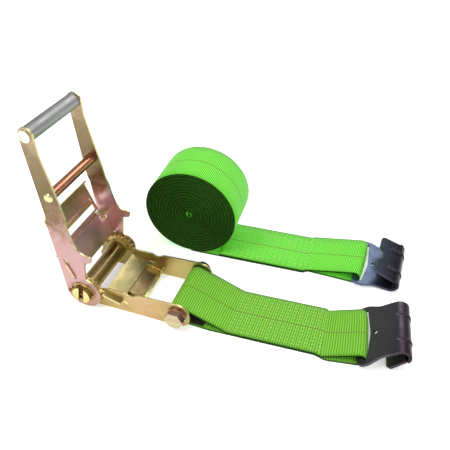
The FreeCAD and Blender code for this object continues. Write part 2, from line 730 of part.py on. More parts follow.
def long_strap():
    reach = math.sqrt(COIL_R ** 2 - (COIL_R - WEB_T) ** 2)
    steps = [V(COIL_X, 0, 0), (V(COIL_X, 0, 2 * COIL_R), V(COIL_X + reach, 0, WEB_T)),
             V(LONG_SEW_X0, 0, WEB_T), V(LONG_SEW_X0, 0, 2 * WEB_T)]
    end = sewn_end(LONG_SEW_X1, LONG_HOOK_YAW - LONG_SKEW)
    steps += [V(end, 0, 2 * WEB_T), V(end, 0, 0)]
    return with_hook_loop(web_prism(steps), LONG_BAR_X, 0, LONG_SEW_X1, LONG_HOOK_YAW - LONG_SKEW)


PARTS["short_strap"] = short_strap()
PARTS["wear_sleeve"] = wear_sleeve()


# ---------------------------------------------------------------- flat hooks
NOTCH_R = 12.0
RIB_R = 5.0
RIB_Y = 26.0
RIB_RUN = 14.0
BEND_MID = HOOK_BEND_R + HOOK_T / 2


def hook_plate():
    """Plate with the webbing slot; bar's middle at the origin, nose towards +X."""
    half = HOOK_WIDTH / 2
    nose = HOOK_NOSE_WIDTH / 2
    left = -HOOK_BAR / 2
    plate = flat_plate([(left, -half, 10), (HOOK_SHOULDER, -half, 12), (HOOK_WAIST, -nose, 25),
                        (HOOK_FLAT, -nose, 0), (HOOK_FLAT, nose, 0), (HOOK_WAIST, nose, 25),
                        (HOOK_SHOULDER, half, 12), (left, half, 10)])
    web_half = WEB_WIDTH / 2 + SLOT_PLAY
    inner = HOOK_BAR / 2
    ends = inner + HOOK_SLOT_END
    slot = flat_plate([(inner, -web_half, 2), (ends, -web_half, 2), (inner + HOOK_SLOT, 0, 100),
                       (ends, web_half, 2), (inner, web_half, 2)])
    hole = Part.makeCylinder(HOOK_HOLE_R, 2 * HOOK_T, V(HOOK_HOLE_X, 0, -HOOK_T), V(0, 0, 1))
    return plate.cut(slot).cut(hole)


def flat_plate(points):
    """Plate of hook thickness about Z = 0 from (x, y, corner radius) points."""
    wire = outline([(x, y, r) for x, y, r in points])
    face = Part.Face(wire)
    face.rotate(V(0, 0, 0), V(1, 0, 0), -90)
    plate = face.extrude(V(0, 0, HOOK_T))
    plate.translate(V(0, 0, -HOOK_T / 2))
    return plate


def hook():
    """Flat hook with its mouth above the plate."""
    nose = HOOK_NOSE_WIDTH / 2
    centre = V(HOOK_FLAT, 0, BEND_MID)
    section = Part.Face(Part.Wire(Part.makePolygon([
        V(HOOK_FLAT, -nose, -HOOK_T / 2), V(HOOK_FLAT, nose, -HOOK_T / 2),
        V(HOOK_FLAT, nose, HOOK_T / 2), V(HOOK_FLAT, -nose, HOOK_T / 2),
        V(HOOK_FLAT, -nose, -HOOK_T / 2)])))
    bend = section.revolve(centre, V(0, -1, 0), HOOK_TURN)
    lip = flat_plate([(0, -nose, 0), (HOOK_LIP, -nose + 3, 9), (HOOK_LIP, -NOTCH_R - 8, 5),
                      (HOOK_LIP - 9, -NOTCH_R + 2, 6), (HOOK_LIP - 9, NOTCH_R - 2, 6),
                      (HOOK_LIP, NOTCH_R + 8, 5), (HOOK_LIP, nose - 3, 9), (0, nose, 0)])
    shapes = [hook_plate(), bend]
    place = FreeCAD.Placement(centre, FreeCAD.Rotation(V(0, -1, 0), HOOK_TURN))
    drop = FreeCAD.Placement(V(0, 0, -BEND_MID), FreeCAD.Rotation())
    lip.Placement = place.multiply(drop)
    shapes.append(lip)
    for y in (-RIB_Y, RIB_Y):
        circle = Part.Face(Part.Wire(Part.makeCircle(RIB_R, V(HOOK_FLAT, y, 1), V(1, 0, 0))))
        rib = circle.revolve(centre, V(0, -1, 0), HOOK_TURN)
        run = Part.makeCylinder(RIB_R, RIB_RUN, V(0, y, 1), V(1, 0, 0))
        end = Part.makeSphere(RIB_R, V(RIB_RUN, y, 1))
        tail = run.fuse(end)
        tail.Placement = place.multiply(drop)
        start = Part.makeSphere(RIB_R, V(HOOK_FLAT, y, 1))
        shapes += [rib, tail, start]
    return fused(shapes)


def lowest(shape, tilt):
    turned = shape.copy()
    turned.rotate(V(0, 0, 0), V(0, 1, 0), tilt)
    return turned.BoundBox.ZMin


def settle(shape, low, high):
    """Tilt about the bar, between two limits, at which a hook just meets the floor."""
    for _ in range(24):
        middle = (low + high) / 2
        if lowest(shape, middle) + BAR_Z > FLOOR_GAP:
            low = middle
        else:
            high = middle
    return low


FLOOR_GAP = 0.2


def short_hook():
    """Mouth down, standing on its lip."""
    shape = hook().mirror(V(0, 0, 0), V(0, 0, 1))
    shape.rotate(V(0, 0, 0), V(0, 1, 0), settle(shape, -50.0, 10.0))
    shape.rotate(V(0, 0, 0), V(0, 0, 1), SHORT_HOOK_YAW)
    shape.translate(V(SHORT_BAR_X, drift(SHORT_BAR_X), BAR_Z))
    return shape


def long_hook():
    """Mouth up, its plate lying on the floor from the bar to the bend."""
    shape = hook()
    shape.rotate(V(0, 0, 0), V(0, 1, 0), settle(shape, 0.0, 30.0))
    shape.rotate(V(0, 0, 0), V(0, 0, 1), LONG_HOOK_YAW - LONG_SKEW)
    shape.translate(V(LONG_BAR_X, 0, BAR_Z))
    return shape


PARTS["short_hook"] = short_hook()
for name, shape in (("long_strap", long_strap()), ("long_hook", long_hook())):
    shape.translate(V(0, COIL_Y, 0))
    shape.rotate(V(COIL_X, COIL_Y, 0), V(0, 0, 1), LONG_SKEW)
    PARTS[name] = shape

# ---------------------------------------------------------------- origin and export
whole = Part.makeCompound(list(PARTS.values())).BoundBox
ORIGIN = V((whole.XMin + whole.XMax) / 2, (whole.YMin + whole.YMax) / 2, whole.ZMin)
for name, shape in PARTS.items():
    shape.translate(ORIGIN * -1)
    shape.exportStep("parts/" + name + ".step")
    print(name, len(shape.Solids), round(shape.Volume), shape.isValid())
print("origin", ORIGIN, "size", whole.XLength, whole.YLength, whole.ZLength)
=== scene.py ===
"""Ratchet strap: a long-handled ratchet with a short sewn strap, and a coiled long strap."""
import math

import bmesh
import bpy
from mathutils import Matrix, Vector


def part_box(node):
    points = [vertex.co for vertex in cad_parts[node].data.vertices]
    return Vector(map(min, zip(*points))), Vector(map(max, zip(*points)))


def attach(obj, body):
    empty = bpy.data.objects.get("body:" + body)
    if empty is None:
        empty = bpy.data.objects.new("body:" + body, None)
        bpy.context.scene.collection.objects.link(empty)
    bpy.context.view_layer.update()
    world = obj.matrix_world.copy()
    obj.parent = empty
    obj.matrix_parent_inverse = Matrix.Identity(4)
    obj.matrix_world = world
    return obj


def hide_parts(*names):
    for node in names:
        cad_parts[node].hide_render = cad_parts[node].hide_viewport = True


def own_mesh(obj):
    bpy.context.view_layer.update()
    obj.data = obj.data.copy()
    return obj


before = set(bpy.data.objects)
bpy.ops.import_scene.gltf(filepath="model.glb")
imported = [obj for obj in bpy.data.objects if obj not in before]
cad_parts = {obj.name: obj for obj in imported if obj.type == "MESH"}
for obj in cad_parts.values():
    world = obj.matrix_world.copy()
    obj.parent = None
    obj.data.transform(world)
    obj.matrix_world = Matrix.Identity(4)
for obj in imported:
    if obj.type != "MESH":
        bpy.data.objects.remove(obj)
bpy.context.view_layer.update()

# ------------------------------------------------------------------ studio
# A white sweep under soft boxes. Everything is placed from the mandrel's axis: X along the
# straps, Y from the near side to the far side, Z up from the floor, in millimetres.
near_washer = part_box("mandrel_washer_near")
far_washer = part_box("mandrel_washer_far")
AXLE_X = (near_washer[0][0] + near_washer[1][0]) / 2
AXLE_Z = (near_washer[0][2] + near_washer[1][2]) / 2 * 1000
MIDDLE_Y = (near_washer[0][1] + far_washer[1][1]) / 2
MM = 0.001


def at(x, y, z):
    return Vector((AXLE_X + x * MM, MIDDLE_Y + y * MM, z * MM))


CAMERA_PLACE = (445.8, -593.1, 691.4)
CAMERA_TURN, CAMERA_FALL = 19.6, 38.1       # degrees
CAMERA_LENS, SENSOR_WIDTH = 42.33, 36       # millimetres
CAMERA_SHIFT = -0.0047                      # share of the sensor

camera = bpy.data.objects.new("camera", bpy.data.cameras.new("camera"))
bpy.context.collection.objects.link(camera)
camera.location = at(*CAMERA_PLACE)
camera.rotation_euler = (math.radians(90 - CAMERA_FALL), 0, math.radians(CAMERA_TURN))
camera.data.lens = CAMERA_LENS
camera.data.sensor_width = SENSOR_WIDTH
camera.data.shift_y = CAMERA_SHIFT
bpy.context.scene.camera = camera


def linear(code):
    """sRGB hex to linear RGBA."""
    values = [int(code[k:k + 2], 16) / 255 for k in (1, 3, 5)]
    return [v / 12.92 if v < 0.04045 else ((v + 0.055) / 1.055) ** 2.4 for v in values] + [1]


def add(owner, kind, sockets=(), stops=(), **settings):
    """Adds a node, with its settings, its colour stops, and its sockets' values or links."""
    node = owner.node_tree.nodes.new("ShaderNode" + kind)
    for name, value in settings.items():
        setattr(node, name, value)
    for name, value in dict(sockets).items():
        if isinstance(value, bpy.types.NodeSocket):
            owner.node_tree.links.new(value, node.inputs[name])
        else:
            node.inputs[name].default_value = value
    if stops:
        band = node.color_ramp.elements
        band.remove(band[1])
        band[0].position, band[0].color = stops[0][0], linear(stops[0][1])
        for place, code in stops[1:]:
            band.new(place).color = linear(code)
    return node


def new_material(name):
    material = bpy.data.materials.new(name)
    material.use_nodes = True
    return material, material.node_tree.nodes["Principled BSDF"]


def wire(material, output, shader, socket):
    material.node_tree.links.new(output, shader.inputs[socket])


FLOOR_HALF, FLOOR_DROP = 6, 0.0003          # metres; the drop keeps it clear of the straps
PAPER_GLOW, SKY_STRENGTH = 0.42, 0.62
LIGHT_AIM = (150, 80, 60)
LIGHTS = (("key", (-500, -700, 1600), 0.9, 15),     # place in mm, size in m, power in W
          ("fill", (1400, -500, 900), 1.2, 7),
          ("back", (300, 1500, 1300), 1.0, 11))

sweep = bmesh.new()
bmesh.ops.create_grid(sweep, x_segments=1, y_segments=1, size=FLOOR_HALF)
floor_mesh = bpy.data.meshes.new("floor")
sweep.to_mesh(floor_mesh)
sweep.free()
floor = bpy.data.objects.new("floor", floor_mesh)
bpy.context.collection.objects.link(floor)
floor.location.z = -FLOOR_DROP
white_paper, paper = new_material("white_paper")
paper.inputs["Base Color"].default_value = linear("#FAFAFA")
paper.inputs["Roughness"].default_value = 0.9
paper.inputs["Specular IOR Level"].default_value = 0.1
paper.inputs["Emission Color"].default_value = (1, 1, 1, 1)
paper.inputs["Emission Strength"].default_value = PAPER_GLOW
floor.data.materials.append(white_paper)

world = bpy.data.worlds.new("studio")
bpy.context.scene.world = world
world.use_nodes = True
sky = world.node_tree.nodes["Background"]
direction = add(world, "TexCoord")
height = add(world, "SeparateXYZ", {0: direction.outputs["Generated"]})
walls = add(world, "ValToRGB", {0: height.outputs["Z"]},
            stops=[(0.0, "#C8C8C8"), (0.18, "#A8A8AA"), (0.45, "#D8D8D8"), (0.8, "#FFFFFF")])
world.node_tree.links.new(walls.outputs["Color"], sky.inputs["Color"])
sky.inputs["Strength"].default_value = SKY_STRENGTH

for name, place, size, power in LIGHTS:
    light = bpy.data.lights.new(name, "AREA")
    light.energy, light.size = power, size
    lamp = bpy.data.objects.new(name, light)
    bpy.context.collection.objects.link(lamp)
    lamp.location = at(*place)
    aim = at(*LIGHT_AIM) - lamp.location
    lamp.rotation_euler = aim.to_track_quat("-Z", "Y").to_euler()
bpy.context.scene.view_settings.view_transform = "Standard"

# ------------------------------------------------------------------ ratchet frame
# Two side plates of 3.5 mm steel, pressed and pierced, then zinc plated and yellow
# passivated. The film's thickness wanders, so gold runs into pink, purple and olive, and the
# sheared edges, pickled brighter, come out pale yellow. On the frame, the olive is painted
# shade.
CLOUD = 0.022           # metres across one cloud of the film's colour
PICKLE_GRAIN = 0.0007   # the etched grain, drawn a little coarser than the real one
SPECKLE = 0.16          # how far the grain shifts the film's tint
WELD = 0.00001          # metres within which a node's vertices are one


def yellow_zinc(name, tints, edge="#E9DFA2", along=(0, 0, 1), start=0.0, run=0.1,
                face=(0, 1, 0), wander=0.45, rough=0.34):
    """Yellow zinc whose tints follow each other along a direction, broken up in clouds."""
    steel, shader = new_material(name)
    coords = add(steel, "TexCoord")
    place = coords.outputs["Object"]
    down = add(steel, "VectorMath", {0: place, 1: along}, operation="DOT_PRODUCT")
    share = add(steel, "MapRange", {"Value": down.outputs["Value"], "From Min": start,
                                    "From Max": start + run})
    clouds = add(steel, "TexNoise", {"Vector": place, "Scale": 1 / CLOUD, "Detail": 4.0,
                                     "Roughness": 0.55, "Distortion": 0.8})
    strayed = add(steel, "Math", {0: clouds.outputs["Fac"], 1: wander, 2: -wander / 2},
                  operation="MULTIPLY_ADD")
    film = add(steel, "Math", {0: share.outputs["Result"], 1: strayed.outputs[0]},
               operation="ADD")
    specks = add(steel, "TexNoise", {"Vector": place, "Scale": 1 / (3 * PICKLE_GRAIN),
                                     "Detail": 3.0})
    speckled = add(steel, "Math", {0: specks.outputs["Fac"], 1: SPECKLE, 2: -SPECKLE / 2},
                   operation="MULTIPLY_ADD")
    film = add(steel, "Math", {0: film.outputs[0], 1: speckled.outputs[0]}, operation="ADD")
    tint = add(steel, "ValToRGB", {"Fac": film.outputs[0]}, stops=tints)
    turned = add(steel, "VectorMath", {0: coords.outputs["Normal"], 1: face},
                 operation="DOT_PRODUCT")
    facing = add(steel, "Math", {0: turned.outputs["Value"]}, operation="ABSOLUTE")
    rim = add(steel, "MapRange", {"Value": facing.outputs[0], "From Min": 0.5,
                                  "From Max": 0.9, "To Min": 0.85, "To Max": 0.0})
    colour = add(steel, "Mix", {0: rim.outputs["Result"], 6: tint.outputs["Color"],
                                7: linear(edge)}, data_type="RGBA")
    grain = add(steel, "TexNoise", {"Vector": place, "Scale": 1 / PICKLE_GRAIN, "Detail": 3.0})
    dull = add(steel, "MapRange", {"Value": clouds.outputs["Fac"], "From Min": 0.3,
                                   "From Max": 0.7, "To Min": rough - 0.07,
                                   "To Max": rough + 0.09})
    relief = add(steel, "Bump", {"Height": grain.outputs["Fac"], "Strength": 0.22,
                                 "Distance": 0.00012})
    shader.inputs["Metallic"].default_value = 1.0
    wire(steel, colour.outputs[2], shader, "Base Color")
    wire(steel, dull.outputs["Result"], shader, "Roughness")
    wire(steel, relief.outputs["Normal"], shader, "Normal")
    return steel


def own_piece(name, mesh, body, slot, *materials):
    """Puts a mesh in the scene as a piece that rides on a body."""
    piece = bpy.data.objects.new(name, mesh)
    bpy.context.collection.objects.link(piece)
    for material in materials:
        mesh.materials.append(material)
    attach(piece, body)
    return piece


def pressed(node, body, slot, material, edge_mm=0.5, sharp=35):
    """A pressed or turned part in its finish, with the radius its edges have when new."""
    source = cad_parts[node]
    mesh = source.data.copy()
    mesh.materials.clear()
    blank = bmesh.new()
    blank.from_mesh(mesh)
    bmesh.ops.remove_doubles(blank, verts=blank.verts, dist=WELD)
    bmesh.ops.dissolve_limit(blank, angle_limit=math.radians(1), verts=blank.verts,
                             edges=blank.edges)
    if edge_mm:
        corners = [e for e in blank.edges
                   if len(e.link_faces) == 2 and e.calc_face_angle() > math.radians(sharp)]
        bmesh.ops.bevel(blank, geom=corners, offset=edge_mm * MM, segments=2, profile=0.5,
                        affect="EDGES", material=-1, clamp_overlap=True)
    for face in blank.faces:
        face.smooth = True
    blank.to_mesh(mesh)
    blank.free()
    mesh.set_sharp_from_angle(angle=math.radians(sharp))
    piece = own_piece(node + "_finished", mesh, body, slot, material)
    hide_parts(node)
    flats = piece.modifiers.new("flats", "WEIGHTED_NORMAL")
    flats.keep_sharp = True
    return piece


# The olive at the start of the near plate's ramp, and the darker olive copy given to the far
# plate and the cross plate, are painted shade; gold and peach are the film's own.
GOLD, PEACH, OLIVE = "#B8A369", "#C6A97C", "#94864E"
frame_zinc = yellow_zinc("frame_yellow_zinc", [(0.0, OLIVE), (0.3, GOLD), (0.6, PEACH),
                                               (0.85, "#B59A62"), (1.0, "#A9A56A")],
                         along=(1, 0, 0), start=AXLE_X - 0.05, run=0.26)
frame_olive = yellow_zinc("frame_zinc_painted_shade", [(0.0, "#8A8150"), (0.35, "#A8965C"),
                                               (0.65, "#BBA86C"), (1.0, "#B4B06A")],
                          edge="#E3DC9C", along=(1, 0, 0), start=AXLE_X - 0.05, run=0.26)
pressed("frame_plate_near", "frame", "frame_zinc", frame_zinc, 0.6)
pressed("frame_plate_far", "frame", "frame_zinc", frame_olive, 0.6)
pressed("cross_plate", "frame", "frame_zinc", frame_olive, 0.4)

# ------------------------------------------------------------------ frame bolt
# A hexagon bolt, its nut and washers, and the sleeve that the short strap turns on: cold
# headed steel, plated with the frame but in a thicker film that shows purple and brown.
BOLT_X, BOLT_Z = 168.0, 25.0
bolt_zinc = yellow_zinc("bolt_purple_zinc", [(0.0, "#A89A74"), (0.4, "#C8BE92"),
                                             (0.6, "#B8A88A"), (1.0, "#D2C796")],
                        edge="#8C6468", along=(0, 0, 1), start=0.0, run=0.05, rough=0.28)
for node in ("bolt", "bolt_nut", "bolt_washer_near", "bolt_washer_far", "bolt_sleeve"):
    pressed(node, "frame", "fastener_zinc", bolt_zinc, 0.5)

# ------------------------------------------------------------------ lock pawl
# A flat pawl that slides in the frame's slots and drops into the wheels' teeth. Blanked from
# 4 mm plate, paler gold than the frame; its tongue is pressed down over the cross plate.
LOCK_LEAN = math.radians(17)
LOCK_AXIS = Vector((math.cos(LOCK_LEAN), 0, -math.sin(LOCK_LEAN)))
LOCK_FACE = Vector((math.sin(LOCK_LEAN), 0, math.cos(LOCK_LEAN)))
lock_zinc = yellow_zinc("lock_pawl_zinc", [(0.0, "#BDB27C"), (0.4, "#A2976A"),
                                           (0.72, "#8A7350"), (1.0, "#6E5A3C")],
                        along=(1, 0, 0), start=AXLE_X + 0.03, run=0.07, face=LOCK_FACE)
pressed("lock_pawl", "lock_pawl", "pawl_zinc", lock_zinc, 0.5)


# Two compression springs behind it, each on a headed pin: wound music wire, gold plated with
# the rest. A spring's start and end are metres past the pawl's working edge.
PAWL_HELD = 33.7                            # that edge from the axle, just clear of the teeth
WIRE, COIL_RADIUS = 1.2, 4.0
LOCK_SPRING_Y, LOCK_SPRING_LENGTH, LOCK_SPRING_TURNS = 42.0, 28.1, 8
LOCK_SPRING_START, LOCK_SPRING_END = 0.0352, 0.0634


def coil_spring(name, body, start, axis, length, radius, wire_mm, turns, material):
    """Winds a wire ring round the spring's axis, a little further along at each step."""
    steps_per_turn = 20
    spring = bmesh.new()
    across = axis.cross(Vector((0, 1, 0))).normalized()
    bmesh.ops.create_circle(spring, cap_ends=False, segments=8, radius=wire_mm / 2 * MM)
    stand = Matrix((across, axis, Vector((0, 1, 0)))).transposed()
    bmesh.ops.transform(spring, matrix=Matrix.Translation(start + across * radius * MM)
                        @ stand.to_4x4(), verts=spring.verts)
    steps = int(turns * steps_per_turn)
    bmesh.ops.spin(spring, geom=spring.edges[:] + spring.verts[:], cent=start, axis=axis,
                   dvec=axis * (length - wire_mm) * MM / steps, angle=math.tau * turns,
                   steps=steps)
    bmesh.ops.translate(spring, vec=axis * wire_mm / 2 * MM, verts=spring.verts)
    bmesh.ops.holes_fill(spring, edges=[e for e in spring.edges if e.is_boundary])
    bmesh.ops.recalc_face_normals(spring, faces=spring.faces)
    for face in spring.faces:
        face.smooth = True
    mesh = bpy.data.meshes.new(name)
    spring.to_mesh(mesh)
    spring.free()
    return own_piece(name + "_wound", mesh, body, "spring_steel", material)


spring_zinc = yellow_zinc("spring_gold_zinc", [(0.0, "#D7B36A"), (1.0, "#C39A5A")],
                          edge="#D7B36A", rough=0.25)
lock_tip = at(PAWL_HELD, 0, AXLE_Z)
for side, y in (("near", -LOCK_SPRING_Y), ("far", LOCK_SPRING_Y)):
    middle = lock_tip + Vector((0, y * MM, 0))
    spring = coil_spring("lock_spring_" + side, "frame", middle + LOCK_AXIS * LOCK_SPRING_START,
                         LOCK_AXIS, LOCK_SPRING_LENGTH, COIL_RADIUS, WIRE, LOCK_SPRING_TURNS,
                         spring_zinc)
    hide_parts("lock_spring_" + side)
    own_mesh(spring)
    pressed("lock_spring_guide_" + side, "frame", "fastener_zinc", spring_zinc, 0.2)

# ------------------------------------------------------------------ mandrel and wheels
# Two half-round bars that grip the webbing between them, two stamped wheels at each end, and
# outside the handle a washer and a split pin. Turned bar is browner, its sawn ends greenish.
mandrel_zinc = yellow_zinc("mandrel_brown_zinc", [(0.0, "#C9C277"), (0.5, "#D9D48C"),
                                                  (1.0, "#E2DC9C")],
                           edge="#9C7D4A", along=(0, 0, 1), start=0.015, run=0.04,
                           face=(0, 1, 0), wander=0.8)
for node in ("mandrel_half_front", "mandrel_half_rear"):
    pressed(node, "mandrel", "mandrel_zinc", mandrel_zinc, 0.6)
wheel_zinc = yellow_zinc("wheel_gold_zinc", [(0.0, "#8C7444"), (0.5, "#B7985C"),
                                             (1.0, "#C8B27A")], edge="#D8C27E",
                         along=(0, 0, 1), start=0.0, run=0.07, rough=0.38)
for side in ("near", "far"):
    for node in ("ratchet_wheel_inner_", "ratchet_wheel_outer_"):
        pressed(node + side, "mandrel", "wheel_zinc", wheel_zinc, 0.4)
    pressed("mandrel_washer_" + side, "mandrel", "wheel_zinc", wheel_zinc, 0.3)
pin_zinc = yellow_zinc("split_pin_zinc", [(0.0, "#8A4F38"), (1.0, "#A9674A")],
                       edge="#9A5A40", rough=0.35)
for side in ("near", "far"):
    pressed("cotter_pin_" + side, "mandrel", "fastener_zinc", pin_zinc, 0.0)

# ------------------------------------------------------------------ handle
# Two long pressed arms, stepped inwards near the top, with a rolled horn at the back. The
# arms hang one way up in the plating bath, so the film runs from pink low down to olive gold.
handle_zinc = yellow_zinc("handle_yellow_zinc",
                          [(0.0, "#B48C80"), (0.14, "#C8A29F"), (0.36, "#C09A96"),
                           (0.5, "#937660"), (0.62, "#76664A"), (0.84, "#8E7C5E"),
                           (1.0, "#BCA488")],
                          edge="#EDE3A6", start=0.02, run=0.32, wander=0.34, rough=0.34)
for side in ("near", "far"):
    pressed("handle_plate_" + side, "handle", "handle_zinc", handle_zinc, 0.7)
    pressed("spring_bracket_" + side, "handle", "handle_zinc", handle_zinc, 0.3)

# The grip is a drawn tube in plain clear zinc, dull beside the yellow film.
grip_steel = yellow_zinc("grip_clear_zinc", [(0.0, "#8F9093"), (0.5, "#A6A7A9"),
                                             (1.0, "#B4B4B2")], edge="#A2A2A2",
                         along=(0, 1, 0), start=MIDDLE_Y - 0.06, run=0.12, rough=0.5)
pressed("grip_tube", "handle", "grip_tube", grip_steel, 0.3)

# The lower cross tube spaces the arms; its film is the thickest and shows as copper.
cross_zinc = yellow_zinc("cross_tube_copper_zinc", [(0.0, "#8A4A3A"), (0.35, "#C27A5E"),
                                                    (0.7, "#D99A74"), (1.0, "#C98A66")],
                         edge="#CE9070", along=(0.4, 0, 1), start=0.19, run=0.05, rough=0.26)
pressed("cross_tube", "handle", "cross_tube_zinc", cross_zinc, 0.3)
rivet_zinc = yellow_zinc("rivet_head_zinc", [(0.0, "#D8C07E"), (1.0, "#EADCA4")],
                         edge="#D9C282", rough=0.3)
pressed("cross_rivet", "handle", "cross_tube_zinc", rivet_zinc, 0.6)

# A solid rivet holds the grip; its headed ends, worked last, are the brightest metal here.
bright_head = yellow_zinc("grip_rivet_bright_zinc", [(0.0, "#DAD6B8"), (1.0, "#F0EEDC")],
                          edge="#C9C08A", rough=0.3)
pressed("grip_rivet", "handle", "grip_tube", bright_head, 0.4)

# ------------------------------------------------------------------ drive pawl
# The pawl slides in slots of the handle's arms and drives the wheels. The finger plate lies
# on it: a stamping with a window whose edges are curled over, purple at the bend.
DRIVE_LEAN = math.radians(111)
DRIVE_AXIS = Vector((math.cos(DRIVE_LEAN), 0, math.sin(DRIVE_LEAN)))
DRIVE_FACE = Vector((-math.sin(DRIVE_LEAN), 0, math.cos(DRIVE_LEAN)))
pawl_zinc = yellow_zinc("drive_pawl_zinc", [(0.0, "#C8AC86"), (0.25, "#DDB0AC"),
                                            (0.5, "#C8A0A6"), (0.7, "#D8A89E"),
                                            (0.85, "#B8A078"), (1.0, "#A08C62")],
                        edge="#D9CB82", start=0.06, run=0.11, face=DRIVE_FACE, rough=0.44)
pressed("drive_pawl", "drive_pawl", "pull_zinc", pawl_zinc, 0.5)
pressed("pull_plate", "drive_pawl", "pull_zinc", pawl_zinc, 0.5)

# Its two springs stand in the lanced brackets, outside the pawl's shoulders.
DRIVE_PLACE = math.radians(108)             # where the pawl meets the wheels, round the axle
DRIVE_SPRING_Y, DRIVE_SPRING_LENGTH, DRIVE_SPRING_TURNS = 57.2, 13.6, 4
DRIVE_SPRING_START, DRIVE_SPRING_END = 0.0302, 0.0439
drive_tip = at(PAWL_HELD * math.cos(DRIVE_PLACE), 0,
               AXLE_Z + PAWL_HELD * math.sin(DRIVE_PLACE))
for side, y in (("near", -DRIVE_SPRING_Y), ("far", DRIVE_SPRING_Y)):
    middle = drive_tip + Vector((0, y * MM, 0))
    spring = coil_spring("drive_spring_" + side, "handle",
                         middle + DRIVE_AXIS * DRIVE_SPRING_START, DRIVE_AXIS,
                         DRIVE_SPRING_LENGTH, COIL_RADIUS, WIRE, DRIVE_SPRING_TURNS,
                         spring_zinc)
    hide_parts("drive_spring_" + side)
    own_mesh(spring)

# ------------------------------------------------------------------ short strap
# Polyester webbing 102 mm wide, woven in a heavy rib. It turns round the bolt's sleeve and
# the hook's bar, lies double between them and is sewn in rows lengthwise.
WEB, WEB_T = 101.6, 2.8
SHORT_FLAT, SHORT_SEW, SHORT_SEWN, SHORT_BAR = 216.0, 248.0, 414.0, 466.0
SHORT_SKEW, SHORT_YAW = 3.0, 6.5
BAR_Z, BAR_LOOP, BOLT_LOOP = 11.0, 9.6, 16.3
LOW, HIGH = WEB_T / 2, 1.5 * WEB_T      # middles of the two layers
SKEW_FROM = 3           # past the bolt, where the strap's skew begins
HOOK_EASE = 14          # length over which a strap turns to its hook
SHORT_PLY = 2.6         # drawn a little thin, so that its layers stay apart
THREAD = 1.7            # real warp ends are finer than can be seen
MARKER = 0.0012         # metres, half the marker line with its soft edge


def woven(name, light, mid, dark, selvedge, marker, rib, glow=0.0):
    """Ribbed polyester webbing; its own map runs in metres along and across the weave."""
    cloth, shader = new_material(name)
    weave = add(cloth, "UVMap", uv_map="weave")
    way = add(cloth, "SeparateXYZ", {0: weave.outputs["UV"]})
    along, across = way.outputs["X"], way.outputs["Y"]
    slack = add(cloth, "TexNoise", {"Vector": weave.outputs["UV"], "Scale": 60.0,
                                    "Detail": 3.0})
    waver = add(cloth, "Math", {0: slack.outputs["Fac"], 1: 2.2}, operation="MULTIPLY")
    count = add(cloth, "Math", {0: along, 1: math.tau / (rib * MM), 2: waver.outputs[0]},
                operation="MULTIPLY_ADD")
    ribs = add(cloth, "Math", {0: count.outputs[0]}, operation="SINE")
    ends = add(cloth, "Math", {0: across, 1: math.tau / (THREAD * MM)}, operation="MULTIPLY")
    half_rib = add(cloth, "Math", {0: count.outputs[0], 1: 0.5, 2: ends.outputs[0]},
                   operation="MULTIPLY_ADD")
    threads = add(cloth, "Math", {0: half_rib.outputs[0]}, operation="SINE")
    relief = add(cloth, "Math", {0: threads.outputs[0], 1: 0.38, 2: ribs.outputs[0]},
                 operation="MULTIPLY_ADD")
    fluff = add(cloth, "TexNoise", {"Vector": weave.outputs["UV"], "Scale": 900.0,
                                    "Detail": 2.0})
    mixed = add(cloth, "Math", {0: fluff.outputs["Fac"], 1: 1.6, 2: relief.outputs[0]},
                operation="MULTIPLY_ADD")
    depth = add(cloth, "MapRange", {"Value": mixed.outputs[0], "From Min": -0.6,
                                    "From Max": 2.2})
    green = add(cloth, "ValToRGB", {0: depth.outputs[0]},
                stops=[(0.0, dark), (0.5, mid), (1.0, light)])
    centred = add(cloth, "Math", {0: across, 1: WEB / 2 * MM}, operation="SUBTRACT")
    aside = add(cloth, "Math", {0: centred.outputs[0]}, operation="ABSOLUTE")
    line = add(cloth, "MapRange", {"Value": aside.outputs[0], "From Min": MARKER / 2,
                                   "From Max": MARKER, "To Min": 0.75, "To Max": 0.0})
    marked = add(cloth, "Mix", {0: line.outputs[0], 6: green.outputs[0], 7: linear(marker)},
                 data_type="RGBA")
    rim = add(cloth, "MapRange", {"Value": aside.outputs[0], "From Min": (WEB / 2 - 3) * MM,
                                  "From Max": (WEB / 2 - 1) * MM, "To Max": 0.7})
    edged = add(cloth, "Mix", {0: rim.outputs[0], 6: marked.outputs[2], 7: linear(selvedge)},
                data_type="RGBA")
    ribbed = add(cloth, "Bump", {"Height": relief.outputs[0], "Strength": 0.7,
                                 "Distance": 0.0004})
    wire(cloth, edged.outputs[2], shader, "Base Color")
    wire(cloth, ribbed.outputs[0], shader, "Normal")
    shader.inputs["Roughness"].default_value = 0.62
    shader.inputs["Specular IOR Level"].default_value = 0.35
    shader.inputs["Sheen Weight"].default_value = 0.08
    shader.inputs["Sheen Roughness"].default_value = 0.4
    # painted light: an even glow of the webbing's own colour, laid over the light the lamps give
    # it
    if glow:
        wire(cloth, edged.outputs[2], shader, "Emission Color")
        shader.inputs["Emission Strength"].default_value = glow
    return cloth


